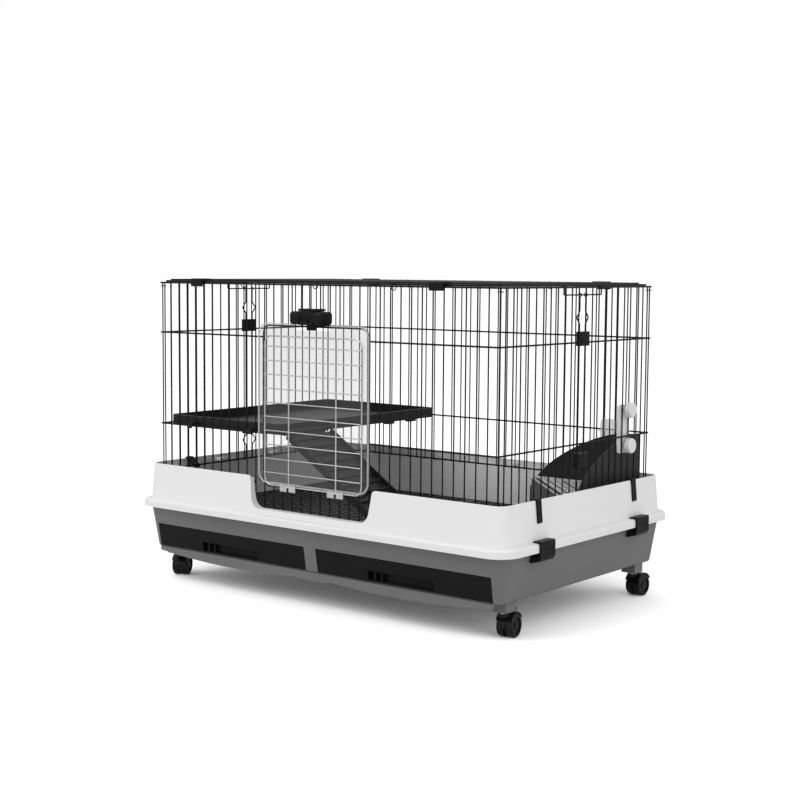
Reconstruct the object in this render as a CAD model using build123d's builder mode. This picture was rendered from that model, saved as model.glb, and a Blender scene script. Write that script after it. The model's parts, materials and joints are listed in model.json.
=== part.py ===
from build123d import *
from math import cos, radians, sin
import os

os.makedirs("parts", exist_ok=True)

# All sizes are in millimetres. X runs along the length, the door faces -Y, and the floor is Z = 0.

# Wire sizes and the small gaps between pieces
bar_radius = 1.15
rail_radius = 1.5
weld_gap = 0.05
running_gap = 0.3

# White surround
flange_length = 815
flange_width = 518
flange_corner = 38
flange_low = 136
flange_top = 150
flange_round = 5
rim_top = 213
wall_inset_low = 12.5
wall_inset_top = 18.2
surround_wall = 3
ledge_top = 199
ledge_thickness = 3
inner_corner = 8
skirt_low = 130.6

# Door cut-out in the surround
cutout_low = 158.5
cutout_half_low = 128
cutout_half_top = 136
cutout_low_round = 20
cutout_top_round = 6
cutout_clear_half = 150
lip_width = 3
lip_depth = 6

# Grey base
base_low = 60
base_inset_top = 13
base_inset_low = 26
base_wall = 3
base_edge_round = 5
grate_shelf_top = 122
grate_shelf_half_x = 372
grate_shelf_half_y = 226
divider_half = 13
bay_end = 369
bay_low = 63
bay_top = 104
sill_low = 44
sill_tab_low = 47
sill_tab_half = 38
sill_end_low = 54
sill_thickness = 4.5
castor_x = 363
castor_y = 197
castor_block = 26.5
castor_block_low = 44
stem_bore_top = 58

# Drawers
drawer_gap = 0.8
drawer_wall = 2.5
drawer_front_depth = 16
drawer_back_y = 222
recess_half = 67.5
recess_low = 66
recess_top = 82
recess_depth = 8
recess_rib = 3

# Floor grates
grate_thickness = 7.7
grate_plate = 5
grate_half_x = 378
grate_half_y = 231
grate_corner = 15
grate_seam = 1
slot_length = 35
slot_width = 12
slot_pitch_x = 42
slot_pitch_y = 20

# Wire cage
cage_length = 740
cage_width = 456
front_spaces = 35
side_spaces = 22
top_rail_z = 540
upper_rail_z = 451
lower_rail_z = 286
inner_clearance = 0.15
door_half = 116.4
door_low = 197
door_top = 471
door_corner = 15
skirt_wire_z = 150
corner_bar_shift = 2.7

# Top panel and hatch
top_frame_half_x = 366
top_frame_half_y = 224
hatch_half_x = 292
hatch_half_y = 204
hatch_stay_y = 68
tie_ring_major = 6.3
tie_ring_wire = 0.8
tie_ring_x = 165
corner_ring_major = 4.2
corner_ring_z = 534
catch_half = 57
catch_low = 528
catch_wire = 1.2
clip_neck = 16
clip_width = 28
clip_bore_radius = 1.8
clip_barrel_radius = 3.6
clip_lip_low = 534
clip_thickness = 3.2

# End ties with their sliders
tie_x = 374.2
tie_half = 8.75
kink_half = 17.5
tie_foot = 200
upper_kink_low = 481
upper_kink_top = 502
lower_kink_low = 226
lower_kink_top = 246
slider_width = 32
slider_height = 23
slider_depth = 7.4
upper_slider_low = 446
lower_slider_low = 249

# Base clips and strap hooks
clip_y = 147
base_clip_width = 41
bracket_width = 48
bracket_low = 119
bracket_top = 131
clip_pivot_x = 400.5
clip_pivot_z = 125
clip_pin_radius = 1.4
hook_y = 146
hook_width = 13
hook_notch_depth = 7.2
hook_low = 178
hook_thickness = 2.2

# Castors
wheel_radius = 18.5
wheel_width = 11.5
castor_width = 28
castor_trail = 20
stem_radius = 4
hood_top = 40.5
hood_web = 4
axle_radius = 2.5

# Door
cover_half = 123
cover_low = 202
cover_top = 476
cover_corner = 21
cover_notch_half = 38
cover_notch_low = 465
cover_thickness = 2
cover_back_y = -230.6
bead_half = 111.5
bead_width = 2.5
bead_height = 1.6
grille_half = 107.5
grille_low = 200
grille_top = 453.5
grille_corner = 14
grille_wire = 1.35
grille_cross_wire = 1
grille_cross_top = 436
grille_pitch = 23.8
grille_crosses = 10
grille_post_x = 52.5
hinge_clip_half = 17.5
hinge_tube_radius = 3

# Latch
latch_half = 36.5
latch_low = 474.5
latch_top = 497
latch_front_y = -252
latch_back_y = -222.5
latch_tab_half = 9.5
latch_tab_low = 465.4
latch_tab_front_y = -237.5
latch_tab_back_y = -233.5
latch_cap_half = 21
latch_cap_top = 501

# Shelf and ramp
shelf_left = -362
shelf_right = -88
shelf_half_y = 215
shelf_low = 283.5
shelf_top = 302
shelf_wall = 4
shelf_floor = 3
shelf_corner = 10
shelf_hook_width = 11
ramp_rod_x = -81.5
ramp_rod_z = 287
ramp_rod_radius = 3
ramp_centre_y = -160.5
ramp_width = 113
ramp_angle = 33.1
ramp_thickness = 4
ramp_rail = 8
ramp_foot_z = 130.25
ramp_rib_pitch = 21

# Corner litter pan
pan_x = 358
pan_y = 215
pan_leg = 222
pan_top = 187
pan_wall = 2.5
pan_low = 130.3
grid_thickness = 3.8
grid_border = 10
grid_slot_length = 13
grid_slot_width = 6
grid_pitch_u = 17
grid_pitch_v = 10.5
splash_thickness = 2.5
splash_top = 283
clamp_y = 155.5
clamp_half = 18.5
clamp_low = 257
clamp_top = 340
clamp_thickness = 3.4
clamp_face_x = 361.6
knob_radius = 13
knob_depth = 10
knob_face_x = 373.6
bolt_radius = 3
upper_knob_z = 331
lower_knob_z = 270

# Places worked out from the sizes above
flange_half_x = flange_length / 2
flange_half_y = flange_width / 2
panel_x = cage_length / 2
panel_y = cage_width / 2
cross_gap = rail_radius + bar_radius + weld_gap
bar_plane_x = panel_x - cross_gap
bar_plane_y = panel_y - cross_gap
inner_half_x = bar_plane_x - bar_radius - inner_clearance
inner_half_y = bar_plane_y - bar_radius - inner_clearance
front_pitch = cage_length / front_spaces
side_pitch = cage_width / side_spaces
base_rail_z = ledge_top + rail_radius
top_frame_z = top_rail_z + 2 * rail_radius + weld_gap
top_bar_z = top_frame_z + cross_gap
grate_top = grate_shelf_top + grate_thickness
drawer_centre = (divider_half + bay_end) / 2
drawer_half = (bay_end - divider_half) / 2 - drawer_gap
side_rail_end = bar_plane_y - bar_radius - weld_gap


def wall_half(flange_half, height):
    rise = (height - flange_top) / (rim_top - flange_top)
    return flange_half - wall_inset_low - (wall_inset_top - wall_inset_low) * rise


def base_half(flange_half, height):
    drop = (flange_low - height) / (flange_low - base_low)
    return flange_half - base_inset_top - (base_inset_low - base_inset_top) * drop


def outline(half_x, half_y, corner, height):
    with BuildSketch(Plane.XY.offset(height)) as shape:
        RectangleRounded(2 * half_x, 2 * half_y, corner)
    return shape.sketch.face()


def tapered(low, high, mode=Mode.ADD):
    loft([outline(*low), outline(*high)], ruled=True, mode=mode)


def block(x_range, y_range, z_range, mode=Mode.ADD):
    low = (x_range[0], y_range[0], z_range[0])
    high = (x_range[1], y_range[1], z_range[1])
    with Locations(tuple((a + b) / 2 for a, b in zip(low, high))):
        Box(*[b - a for a, b in zip(low, high)], mode=mode)


def upright(points, low, high, radius, mode=Mode.ADD):
    with Locations(*[(x, y, low) for x, y in points]):
        Cylinder(radius, high - low, align=(Align.CENTER, Align.CENTER, Align.MIN), mode=mode)


def rod(start, end, radius, mode=Mode.ADD):
    line = Vector(*end) - Vector(*start)
    with BuildSketch(Plane(origin=start, z_dir=line)) as disc:
        Circle(radius)
    extrude(disc.sketch.face(), amount=line.length, dir=line.normalized(), mode=mode)


def wire_loop(centre, half_width, half_height, corner, plane, radius, mode=Mode.ADD):
    with BuildSketch(plane) as shape:
        with Locations(centre):
            RectangleRounded(2 * half_width, 2 * half_height, corner)
    path = shape.sketch.face().outer_wire()
    with BuildSketch(Plane(origin=path @ 0, z_dir=path % 0)) as disc:
        Circle(radius)
    sweep(disc.sketch.face(), path=path, mode=mode)


def bent_wire(points, bend, radius, mode=Mode.ADD):
    with BuildLine() as path:
        FilletPolyline(*points, radius=bend)
    with BuildSketch(Plane(origin=path.wire() @ 0, z_dir=path.wire() % 0)) as disc:
        Circle(radius)
    sweep(disc.sketch.face(), path=path.wire(), mode=mode)


def ring(centre, axis, major, minor, mode=Mode.ADD):
    with Locations(Plane(origin=centre, z_dir=axis).location):
        Torus(major, minor, mode=mode)


def side_profile(points, y_range, mode=Mode.ADD):
    with BuildSketch(Plane.XZ) as shape:
        Polygon(*points, align=None)
    middle = (y_range[0] + y_range[1]) / 2
    half = (y_range[1] - y_range[0]) / 2
    moved = shape.sketch.face().moved(Location((0, middle, 0)))
    extrude(moved, amount=half, both=True, mode=mode)


def end_profile(points, x_range, mode=Mode.ADD):
    with BuildSketch(Plane.YZ) as shape:
        Polygon(*points, align=None)
    middle = (x_range[0] + x_range[1]) / 2
    half = (x_range[1] - x_range[0]) / 2
    moved = shape.sketch.face().moved(Location((middle, 0, 0)))
    extrude(moved, amount=half, both=True, mode=mode)


def front_bar_x(index):
    return -panel_x + index * front_pitch


def side_bar_y(index):
    return -panel_y + index * side_pitch


def save(part, name):
    part.label = name
    export_step(part, "parts/" + name + ".step")


# Grey base tray with two drawer bays, a sill under the drawers and four castor blocks
with BuildPart() as base_tray:
    tapered(
        (base_half(flange_half_x, base_low), base_half(flange_half_y, base_low), 12, base_low),
        (base_half(flange_half_x, flange_low), base_half(flange_half_y, flange_low), 25, flange_low),
    )
    fillet(base_tray.edges().group_by(Axis.Z)[0], base_edge_round)
    tapered(
        (
            base_half(flange_half_x, bay_low) - base_wall,
            base_half(flange_half_y, bay_low) - base_wall,
            10,
            bay_low,
        ),
        (
            base_half(flange_half_x, flange_low) - base_wall,
            base_half(flange_half_y, flange_low) - base_wall,
            22,
            flange_low,
        ),
        mode=Mode.SUBTRACT,
    )
    shelf_outer_x = base_half(flange_half_x, grate_shelf_top) - base_wall / 2
    shelf_outer_y = base_half(flange_half_y, grate_shelf_top) - base_wall / 2
    with BuildSketch(Plane.XY.offset(grate_shelf_top - base_wall)) as grate_shelf:
        RectangleRounded(2 * shelf_outer_x - base_wall, 2 * shelf_outer_y - base_wall, 20)
        RectangleRounded(2 * grate_shelf_half_x, 2 * grate_shelf_half_y, 12, mode=Mode.SUBTRACT)
    extrude(amount=base_wall)
    divider_y = base_half(flange_half_y, bay_low) - base_wall / 2
    block((-divider_half, divider_half), (-divider_y, divider_y), (bay_low - 1, grate_shelf_top))
    block(
        (-divider_half + base_wall, divider_half - base_wall),
        (-divider_y + base_wall, divider_y - base_wall),
        (base_low - 1, grate_shelf_top - base_wall),
        mode=Mode.SUBTRACT,
    )
    for side in (-1, 1):
        bay = sorted((side * divider_half, side * bay_end))
        block(bay, (-flange_half_y, -divider_y + 6), (bay_low, bay_top), mode=Mode.SUBTRACT)
    sill_back = -base_half(flange_half_y, base_low) + base_wall
    with BuildSketch(Plane.XZ.offset(-sill_back)) as sill:
        with BuildLine():
            Line((bay_end, base_low + 1), (-bay_end, base_low + 1))
            Line((-bay_end, base_low + 1), (-bay_end, sill_end_low))
            ThreePointArc(
                (-bay_end, sill_end_low),
                (-drawer_centre - 10, sill_low),
                (-sill_tab_half, sill_tab_low + 3),
            )
            Line((-sill_tab_half, sill_tab_low + 3), (-sill_tab_half + 8, sill_tab_low))
            Line((-sill_tab_half + 8, sill_tab_low), (sill_tab_half - 8, sill_tab_low))
            Line((sill_tab_half - 8, sill_tab_low), (sill_tab_half, sill_tab_low + 3))
            ThreePointArc(
                (sill_tab_half, sill_tab_low + 3),
                (drawer_centre + 10, sill_low),
                (bay_end, sill_end_low),
            )
            Line((bay_end, sill_end_low), (bay_end, base_low + 1))
        make_face()
    extrude(amount=sill_thickness)
    for x in (-castor_x, castor_x):
        for y in (-castor_y, castor_y):
            tapered_block = castor_block / 2
            block(
                (x - tapered_block, x + tapered_block),
                (y - tapered_block, y + tapered_block),
                (castor_block_low, base_low + 1),
            )
    upright(
        [(x, y) for x in (-castor_x, castor_x) for y in (-castor_y, castor_y)],
        castor_block_low - 1,
        stem_bore_top,
        stem_radius + running_gap,
        mode=Mode.SUBTRACT,
    )
save(base_tray.part, "base_tray")


# Hollow between the surround's two walls, under the ledge
ledge_low = ledge_top - ledge_thickness
with BuildPart() as cavity:
    tapered(
        (
            wall_half(flange_half_x, flange_top) - surround_wall,
            wall_half(flange_half_y, flange_top) - surround_wall,
            22,
            flange_low,
        ),
        (
            wall_half(flange_half_x, ledge_low) - surround_wall,
            wall_half(flange_half_y, ledge_low) - surround_wall,
            18,
            ledge_low,
        ),
    )
    tapered(
        (inner_half_x + surround_wall, inner_half_y + surround_wall, inner_corner + 3, flange_low),
        (inner_half_x + surround_wall, inner_half_y + surround_wall, inner_corner + 3, ledge_low),
        mode=Mode.SUBTRACT,
    )

# White surround: flange, sloping outer wall, rim, wire ledge, inner wall and the door cut-out
with BuildPart() as surround:
    with BuildSketch(Plane.XY.offset(flange_low)) as flange:
        RectangleRounded(flange_length, flange_width, flange_corner)
    extrude(amount=flange_top - flange_low)
    fillet(surround.edges().group_by(Axis.Z)[-1], flange_round)
    tapered(
        (wall_half(flange_half_x, flange_top), wall_half(flange_half_y, flange_top), 25.5, flange_top),
        (wall_half(flange_half_x, rim_top), wall_half(flange_half_y, rim_top), 20, rim_top),
    )
    fillet(surround.edges().group_by(Axis.Z)[-1], 1.2)
    tapered(
        (inner_half_x, inner_half_y, inner_corner, flange_low),
        (inner_half_x, inner_half_y, inner_corner, rim_top),
        mode=Mode.SUBTRACT,
    )
    tapered(
        (
            wall_half(flange_half_x, ledge_top) - surround_wall,
            wall_half(flange_half_y, ledge_top) - surround_wall,
            18,
            ledge_top,
        ),
        (
            wall_half(flange_half_x, rim_top) - surround_wall,
            wall_half(flange_half_y, rim_top) - surround_wall,
            17,
            rim_top,
        ),
        mode=Mode.SUBTRACT,
    )
    add(cavity.part, mode=Mode.SUBTRACT)
    with BuildSketch(Plane.XY.offset(skirt_low)) as skirt:
        RectangleRounded(
            2 * (inner_half_x + surround_wall), 2 * (inner_half_y + surround_wall), inner_corner + 3
        )
        RectangleRounded(2 * inner_half_x, 2 * inner_half_y, inner_corner, mode=Mode.SUBTRACT)
    extrude(amount=flange_low - skirt_low + 1)
    clear_front = -wall_half(flange_half_y, rim_top) + surround_wall - 0.2
    block(
        (-cutout_clear_half, cutout_clear_half),
        (clear_front, -inner_half_y + 3),
        (skirt_low - 1, rim_top + 1),
        mode=Mode.SUBTRACT,
    )
    cutout_points = [
        (-cutout_clear_half, rim_top + 12),
        (-cutout_clear_half, rim_top + 0.05),
        (-cutout_half_top, rim_top + 0.05),
        (-cutout_half_low, cutout_low),
        (cutout_half_low, cutout_low),
        (cutout_half_top, rim_top + 0.05),
        (cutout_clear_half, rim_top + 0.05),
        (cutout_clear_half, rim_top + 12),
    ]
    with BuildSketch(Plane.XZ) as cutout:
        Polygon(*cutout_points, align=None)
        fillet(
            [v for v in cutout.vertices() if abs(v.Y - cutout_low) < 0.1],
            cutout_low_round,
        )
        fillet(
            [
                v
                for v in cutout.vertices()
                if abs(abs(v.X) - cutout_half_top) < 0.1 and abs(v.Y - rim_top) < 0.5
            ],
            cutout_top_round,
        )
    with BuildSketch(Plane.XZ) as lip:
        Polygon(
            (-cutout_half_top - lip_width, rim_top - 4),
            (-cutout_half_low - lip_width, cutout_low - lip_width),
            (cutout_half_low + lip_width, cutout_low - lip_width),
            (cutout_half_top + lip_width, rim_top - 4),
            align=None,
        )
        fillet(
            [v for v in lip.vertices() if abs(v.Y - cutout_low + lip_width) < 0.1],
            cutout_low_round + lip_width,
        )
    lip_plane_y = clear_front + lip_depth - 0.5
    extrude(lip.sketch.face().moved(Location((0, lip_plane_y, 0))), amount=lip_depth + 2)
    extrude(cutout.sketch.face().moved(Location((0, -225, 0))), amount=40, mode=Mode.SUBTRACT)
    for x_side in (-1, 1):
        for y in (-hook_y, hook_y):
            notch = sorted((x_side * (inner_half_x - 1), x_side * (panel_x + 14)))
            block(notch, (y - 9, y + 9), (ledge_low - 1, ledge_top + 1), mode=Mode.SUBTRACT)
            rim_wall = wall_half(flange_half_x, rim_top)
            swing_room = sorted((x_side * (rim_wall - surround_wall - 1), x_side * (rim_wall + 2)))
            hook_span = (y - hook_width / 2 - running_gap, y + hook_width / 2 + running_gap)
            block(swing_room, hook_span, (rim_top - hook_notch_depth, rim_top + 1), mode=Mode.SUBTRACT)
    lug_low = base_rail_z + rail_radius + running_gap
    lug_out_y = wall_half(flange_half_y, ledge_top) - surround_wall + 1
    for x in (-285.4, -84.6, 84.6, 285.4):
        block((x - 8, x + 8), (panel_y - 1, lug_out_y), (lug_low, lug_low + 5))
    for x in (-285.4, 285.4):
        block((x - 8, x + 8), (-lug_out_y, -panel_y + 1), (lug_low, lug_low + 5))
    lug_out_x = wall_half(flange_half_x, ledge_top) - surround_wall + 1
    for side in (-1, 1):
        for y in (-72.5, 72.5):
            reach = sorted((side * (panel_x - 1), side * lug_out_x))
            block(reach, (y - 8, y + 8), (lug_low, lug_low + 5))
save(surround.part, "surround")


# Slotted floor grates, one over each drawer
def make_grate(side):
    near = grate_seam / 2
    centre = side * (grate_half_x + near) / 2
    length = grate_half_x - near
    with BuildPart() as grate:
        with BuildSketch(Plane.XY.offset(grate_shelf_top)):
            with Locations((centre, 0)):
                RectangleRounded(length, 2 * grate_half_y, grate_corner)
        extrude(amount=grate_thickness)
        with BuildSketch(Plane.XY.offset(grate_shelf_top)):
            with Locations((centre, 0)):
                with GridLocations(slot_pitch_x, slot_pitch_y, 8, 22):
                    Rectangle(slot_length, slot_width)
        extrude(amount=grate_thickness, mode=Mode.SUBTRACT)
        block(
            (centre - length / 2 + 8, centre + length / 2 - 8),
            (-grate_half_y + 8, grate_half_y - 8),
            (grate_shelf_top - 1, grate_top - grate_plate),
            mode=Mode.SUBTRACT,
        )
        for offset in (-length / 4, 0, length / 4):
            x = centre + offset
            block((x - 1.5, x + 1.5), (-grate_half_y + 6, grate_half_y - 6), (grate_shelf_top, grate_top))
    return grate.part


save(make_grate(-1), "floor_grate_left")
save(make_grate(1), "floor_grate_right")


# Drawers with a sloping front, a finger recess and two ribs in it
def make_drawer(side):
    centre = side * drawer_centre
    low = bay_low + running_gap
    high = bay_top - drawer_gap
    front_low = -base_half(flange_half_y, low)
    front_high = -base_half(flange_half_y, high)
    tray_top = high - 4
    with BuildPart() as drawer:
        end_profile(
            [
                (front_low, low),
                (drawer_back_y, low),
                (drawer_back_y, tray_top),
                (front_high + drawer_front_depth, tray_top),
                (front_high + drawer_front_depth, high),
                (front_high, high),
            ],
            (centre - drawer_half, centre + drawer_half),
        )
        front_corners = drawer.edges().filter_by(Axis.Y).group_by(Axis.Z)[0]
        fillet(front_corners, 3)
        block(
            (centre - drawer_half + drawer_wall, centre + drawer_half - drawer_wall),
            (front_high + drawer_front_depth, drawer_back_y - drawer_wall),
            (low + drawer_wall, high + 1),
            mode=Mode.SUBTRACT,
        )
        recess_back = -base_half(flange_half_y, recess_low) + recess_depth
        block(
            (centre - recess_half, centre + recess_half),
            (front_high - 5, recess_back),
            (recess_low, recess_top),
            mode=Mode.SUBTRACT,
        )
        for rib in (12, 26):
            x = centre - recess_half + rib
            block(
                (x, x + recess_rib),
                (front_high + 7, recess_back + 0.5),
                (recess_low - 0.5, recess_top + 0.5),
            )
    return drawer.part


save(make_drawer(-1), "drawer_left")
save(make_drawer(1), "drawer_right")


# Clip brackets on the base's ends, with the pins that the clips turn on
with BuildPart() as clip_brackets:
    for side in (-1, 1):
        for y in (-clip_y, clip_y):
            inner_low = base_half(flange_half_x, bracket_low)
            inner_top = base_half(flange_half_x, bracket_top)
            side_profile(
                [
                    (side * inner_low, bracket_low),
                    (side * (clip_pivot_x - 5.5), bracket_low),
                    (side * (clip_pivot_x - 5.5), bracket_top),
                    (side * inner_top, bracket_top),
                ],
                (y - bracket_width / 2, y + bracket_width / 2),
            )
            for end in (-1, 1):
                outer = y + end * bracket_width / 2
                ear = sorted((outer, outer - end * 2.5))
                side_profile(
                    [
                        (side * (clip_pivot_x - 6), bracket_low),
                        (side * (clip_pivot_x + 2.5), bracket_low + 2),
                        (side * (clip_pivot_x + 2.5), bracket_top - 3),
                        (side * (clip_pivot_x - 6), bracket_top),
                    ],
                    ear,
                )
            rod(
                (side * clip_pivot_x, y - bracket_width / 2 + 1, clip_pivot_z),
                (side * clip_pivot_x, y + bracket_width / 2 - 1, clip_pivot_z),
                clip_pin_radius,
            )
save(clip_brackets.part, "clip_brackets")


# Base clips: a barrel on the pin and a strap that hooks over the flange
def make_base_clip(side, y):
    half = base_clip_width / 2
    inside = flange_half_x + 0.5
    outside = inside + 2.6
    top = flange_top + running_gap
    with BuildPart() as clip:
        rod(
            (side * clip_pivot_x, y - half, clip_pivot_z),
            (side * clip_pivot_x, y + half, clip_pivot_z),
            3.6,
        )
        side_profile(
            [
                (side * clip_pivot_x, clip_pivot_z - 3.6),
                (side * (outside - 4), clip_pivot_z - 3.6),
                (side * outside, clip_pivot_z + 2),
                (side * outside, top + 1),
                (side * (outside - 2), top + 2.6),
                (side * (clip_pivot_x - 4), top + 2.6),
                (side * (clip_pivot_x - 4), top),
                (side * (inside - 2), top),
                (side * inside, top - 2),
                (side * inside, clip_pivot_z + 5),
                (side * clip_pivot_x, clip_pivot_z + 3),
            ],
            (y - half, y + half),
        )
        block(
            sorted((side * (outside - 0.6), side * (outside + 1))),
            (y - half + 6, y + half - 6),
            (138, 142),
            mode=Mode.SUBTRACT,
        )
        rod(
            (side * clip_pivot_x, y - half - 1, clip_pivot_z),
            (side * clip_pivot_x, y + half + 1, clip_pivot_z),
            clip_pin_radius + running_gap,
            mode=Mode.SUBTRACT,
        )
    return clip.part


# Strap hooks: they turn on the cage's bottom wire and grip the outside of the rim
def make_strap_hook(side, y):
    half = hook_width / 2
    wall_top = wall_half(flange_half_x, rim_top)
    wall_low = wall_half(flange_half_x, hook_low)
    with BuildPart() as hook:
        rod((side * panel_x, y - half, base_rail_z), (side * panel_x, y + half, base_rail_z), 3.6)
        side_profile(
            [
                (side * panel_x, base_rail_z + 3.5),
                (side * (panel_x + 3.4), base_rail_z),
                (side * (wall_top - surround_wall - 1), rim_top - 1),
                (side * (wall_top - surround_wall - 0.5), rim_top + 0.4),
                (side * (wall_top + 0.4), rim_top + 0.4),
                (side * (wall_low + 0.4), hook_low),
                (side * (wall_low + 0.4 + hook_thickness), hook_low),
                (side * (wall_top + 0.4 + hook_thickness), rim_top + 1.2),
                (side * (wall_top + 0.5), rim_top + 2.6),
                (side * (wall_top - surround_wall - 3), rim_top + 2.6),
            ],
            (y - half, y + half),
        )
        rod(
            (side * panel_x, y - half - 1, base_rail_z),
            (side * panel_x, y + half + 1, base_rail_z),
            rail_radius + running_gap,
            mode=Mode.SUBTRACT,
        )
        bar_y = side_bar_y(round((y + panel_y) / side_pitch))
        rod(
            (side * panel_x, bar_y - bar_radius - running_gap, base_rail_z),
            (side * panel_x, bar_y + bar_radius + running_gap, base_rail_z),
            10,
            mode=Mode.SUBTRACT,
        )
    return hook.part


for end_name, side in (("left", -1), ("right", 1)):
    for row_name, row in (("front", -1), ("back", 1)):
        save(make_base_clip(side, row * clip_y), "base_clip_" + row_name + "_" + end_name)
        save(make_strap_hook(side, row * hook_y), "strap_hook_" + row_name + "_" + end_name)


# Castors, built at the origin with the trail along +Y, then turned to their yaw and moved
def make_stem():
    with BuildPart() as stem:
        upright([(0, 0)], hood_top - 4, stem_bore_top - 2, stem_radius)
        upright([(0, 0)], hood_top + 0.6, hood_top + 1.8, stem_radius + 2)
    return stem.part


def make_hood():
    with BuildPart() as hood:
        with BuildSketch(Plane.YZ) as web:
            with Locations((castor_trail, wheel_radius)):
                Circle(wheel_radius + 1.2)
            with Locations((castor_trail, wheel_radius - 14)):
                Rectangle(60, 22, mode=Mode.SUBTRACT)
            Polygon((-6, 34), (6, 28), (20, 30), (20, hood_top), (-6, hood_top), align=None)
        extrude(web.sketch, amount=hood_web / 2, both=True)
        with BuildSketch(Plane.YZ) as axle_boss:
            with Locations((castor_trail, wheel_radius)):
                Circle(6)
        extrude(axle_boss.sketch, amount=hood_web / 2, both=True)
        with BuildSketch(Plane.YZ) as cover:
            with Locations((castor_trail, wheel_radius)):
                Circle(wheel_radius + 3.5)
                Circle(wheel_radius + 0.9, mode=Mode.SUBTRACT)
            with Locations((castor_trail, wheel_radius - 20)):
                Rectangle(60, 60, mode=Mode.SUBTRACT)
        extrude(cover.sketch, amount=castor_width / 2 - 0.5, both=True)
        upright([(0, 0)], hood_top - 4.5, hood_top, 8)
        block((-8, 8), (0, 12), (hood_top - 2.5, hood_top))
        upright([(0, 0)], hood_top - 4, hood_top + 1, stem_radius, mode=Mode.SUBTRACT)
        rod(
            (-hood_web, castor_trail, wheel_radius),
            (hood_web, castor_trail, wheel_radius),
            axle_radius + running_gap,
            mode=Mode.SUBTRACT,
        )
        block((-2, 2), (castor_trail - 4, castor_trail + 1), (hood_top - 1, hood_top + 3))
        rod(
            (-3, castor_trail - 1.5, hood_top + 1.5),
            (3, castor_trail - 1.5, hood_top + 1.5),
            1.1,
            mode=Mode.SUBTRACT,
        )
    return hood.part


def make_wheels():
    inner = castor_width / 2 - wheel_width
    with BuildPart() as wheels:
        for side in (-1, 1):
            near = side * inner
            far = side * castor_width / 2
            start = (near, castor_trail, wheel_radius)
            end = (far, castor_trail, wheel_radius)
            rod(start, end, wheel_radius)
        rims = wheels.edges().filter_by(GeomType.CIRCLE)
        fillet(rims.sort_by(Axis.X)[0], 2.5)
        rims = wheels.edges().filter_by(GeomType.CIRCLE)
        fillet(rims.sort_by(Axis.X)[-1], 2.5)
        for side in (-1, 1):
            far = side * (castor_width / 2 + 0.5)
            near = side * (castor_width / 2 - 2)
            centre_low = (near, castor_trail, wheel_radius)
            centre_high = (far, castor_trail, wheel_radius)
            rod(centre_low, centre_high, wheel_radius - 5, mode=Mode.SUBTRACT)
            rod(centre_low, (side * (castor_width / 2 - 0.6), castor_trail, wheel_radius), 6)
        rod((-inner - 1, castor_trail, wheel_radius), (inner + 1, castor_trail, wheel_radius), axle_radius)
    return wheels.part


def make_brake():
    pivot_y = castor_trail - 1.5
    pivot_z = hood_top + 1.5
    with BuildPart() as brake:
        rod((-5, pivot_y, pivot_z), (5, pivot_y, pivot_z), 0.8)
        for side in (-1, 1):
            arm = sorted((side * 2.4, side * 6))
            block(arm, (pivot_y - 1.3, castor_trail + 5), (pivot_z - 1.1, pivot_z + 1.4))
        block((-6, 6), (castor_trail + 1.6, castor_trail + 18), (pivot_z - 1.1, pivot_z + 1.4))
        tip = brake.edges().filter_by(Axis.Z).group_by(Axis.Y)[-1]
        fillet(tip, 3)
    return brake.part


castor_yaw = {
    "front_left": (-castor_x, -castor_y, 26.6),
    "front_right": (castor_x, -castor_y, 8.6),
    "back_left": (-castor_x, castor_y, 15.0),
    "back_right": (castor_x, castor_y, -1.4),
}
for corner, (x, y, yaw) in castor_yaw.items():
    place = Location((x, y, 0), (0, 0, yaw))
    save(make_stem().moved(place), "castor_stem_" + corner)
    save(make_hood().moved(place), "castor_hood_" + corner)
    save(make_wheels().moved(place), "castor_wheels_" + corner)
    if corner.startswith("front"):
        save(make_brake().moved(place), "brake_lever_" + corner)


# Wire panels: uprights just inside the rails, all welded where they cross
first_door_bar = 12
last_door_bar = 23
all_bars = range(front_spaces + 1)

with BuildPart() as panel_front:
    full_bars = [i for i in all_bars if i < first_door_bar - 1 or i > last_door_bar + 1]
    upright(
        [(front_bar_x(i), -bar_plane_y) for i in full_bars],
        ledge_top,
        top_rail_z + rail_radius,
        bar_radius,
    )
    long_bars = (first_door_bar - 1, first_door_bar, last_door_bar, last_door_bar + 1)
    upright(
        [(front_bar_x(i), -bar_plane_y) for i in long_bars],
        skirt_wire_z - rail_radius,
        top_rail_z + rail_radius,
        bar_radius,
    )
    door_bars = range(first_door_bar + 1, last_door_bar)
    upright(
        [(front_bar_x(i), -bar_plane_y) for i in door_bars],
        skirt_wire_z - rail_radius,
        door_low + rail_radius,
        bar_radius,
    )
    upright(
        [(front_bar_x(i), -bar_plane_y) for i in door_bars],
        door_top - rail_radius,
        top_rail_z + rail_radius,
        bar_radius,
    )
    rod((-panel_x - 1.5, -panel_y, top_rail_z), (panel_x + 1.5, -panel_y, top_rail_z), rail_radius)
    skirt_end = front_bar_x(last_door_bar + 1) + 1.5
    rod((-skirt_end, -panel_y, skirt_wire_z), (skirt_end, -panel_y, skirt_wire_z), rail_radius)
    ring_side = door_half + rail_radius + weld_gap
    for z in (upper_rail_z, lower_rail_z):
        rod((-panel_x - 1.5, -panel_y, z), (-ring_side, -panel_y, z), rail_radius)
        rod((ring_side, -panel_y, z), (panel_x + 1.5, -panel_y, z), rail_radius)
    base_rail_end = front_bar_x(last_door_bar + 1) - 1.5
    rod((-panel_x - 1.5, -panel_y, base_rail_z), (-base_rail_end, -panel_y, base_rail_z), rail_radius)
    rod((base_rail_end, -panel_y, base_rail_z), (panel_x + 1.5, -panel_y, base_rail_z), rail_radius)
save(panel_front.part, "panel_front")

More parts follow.
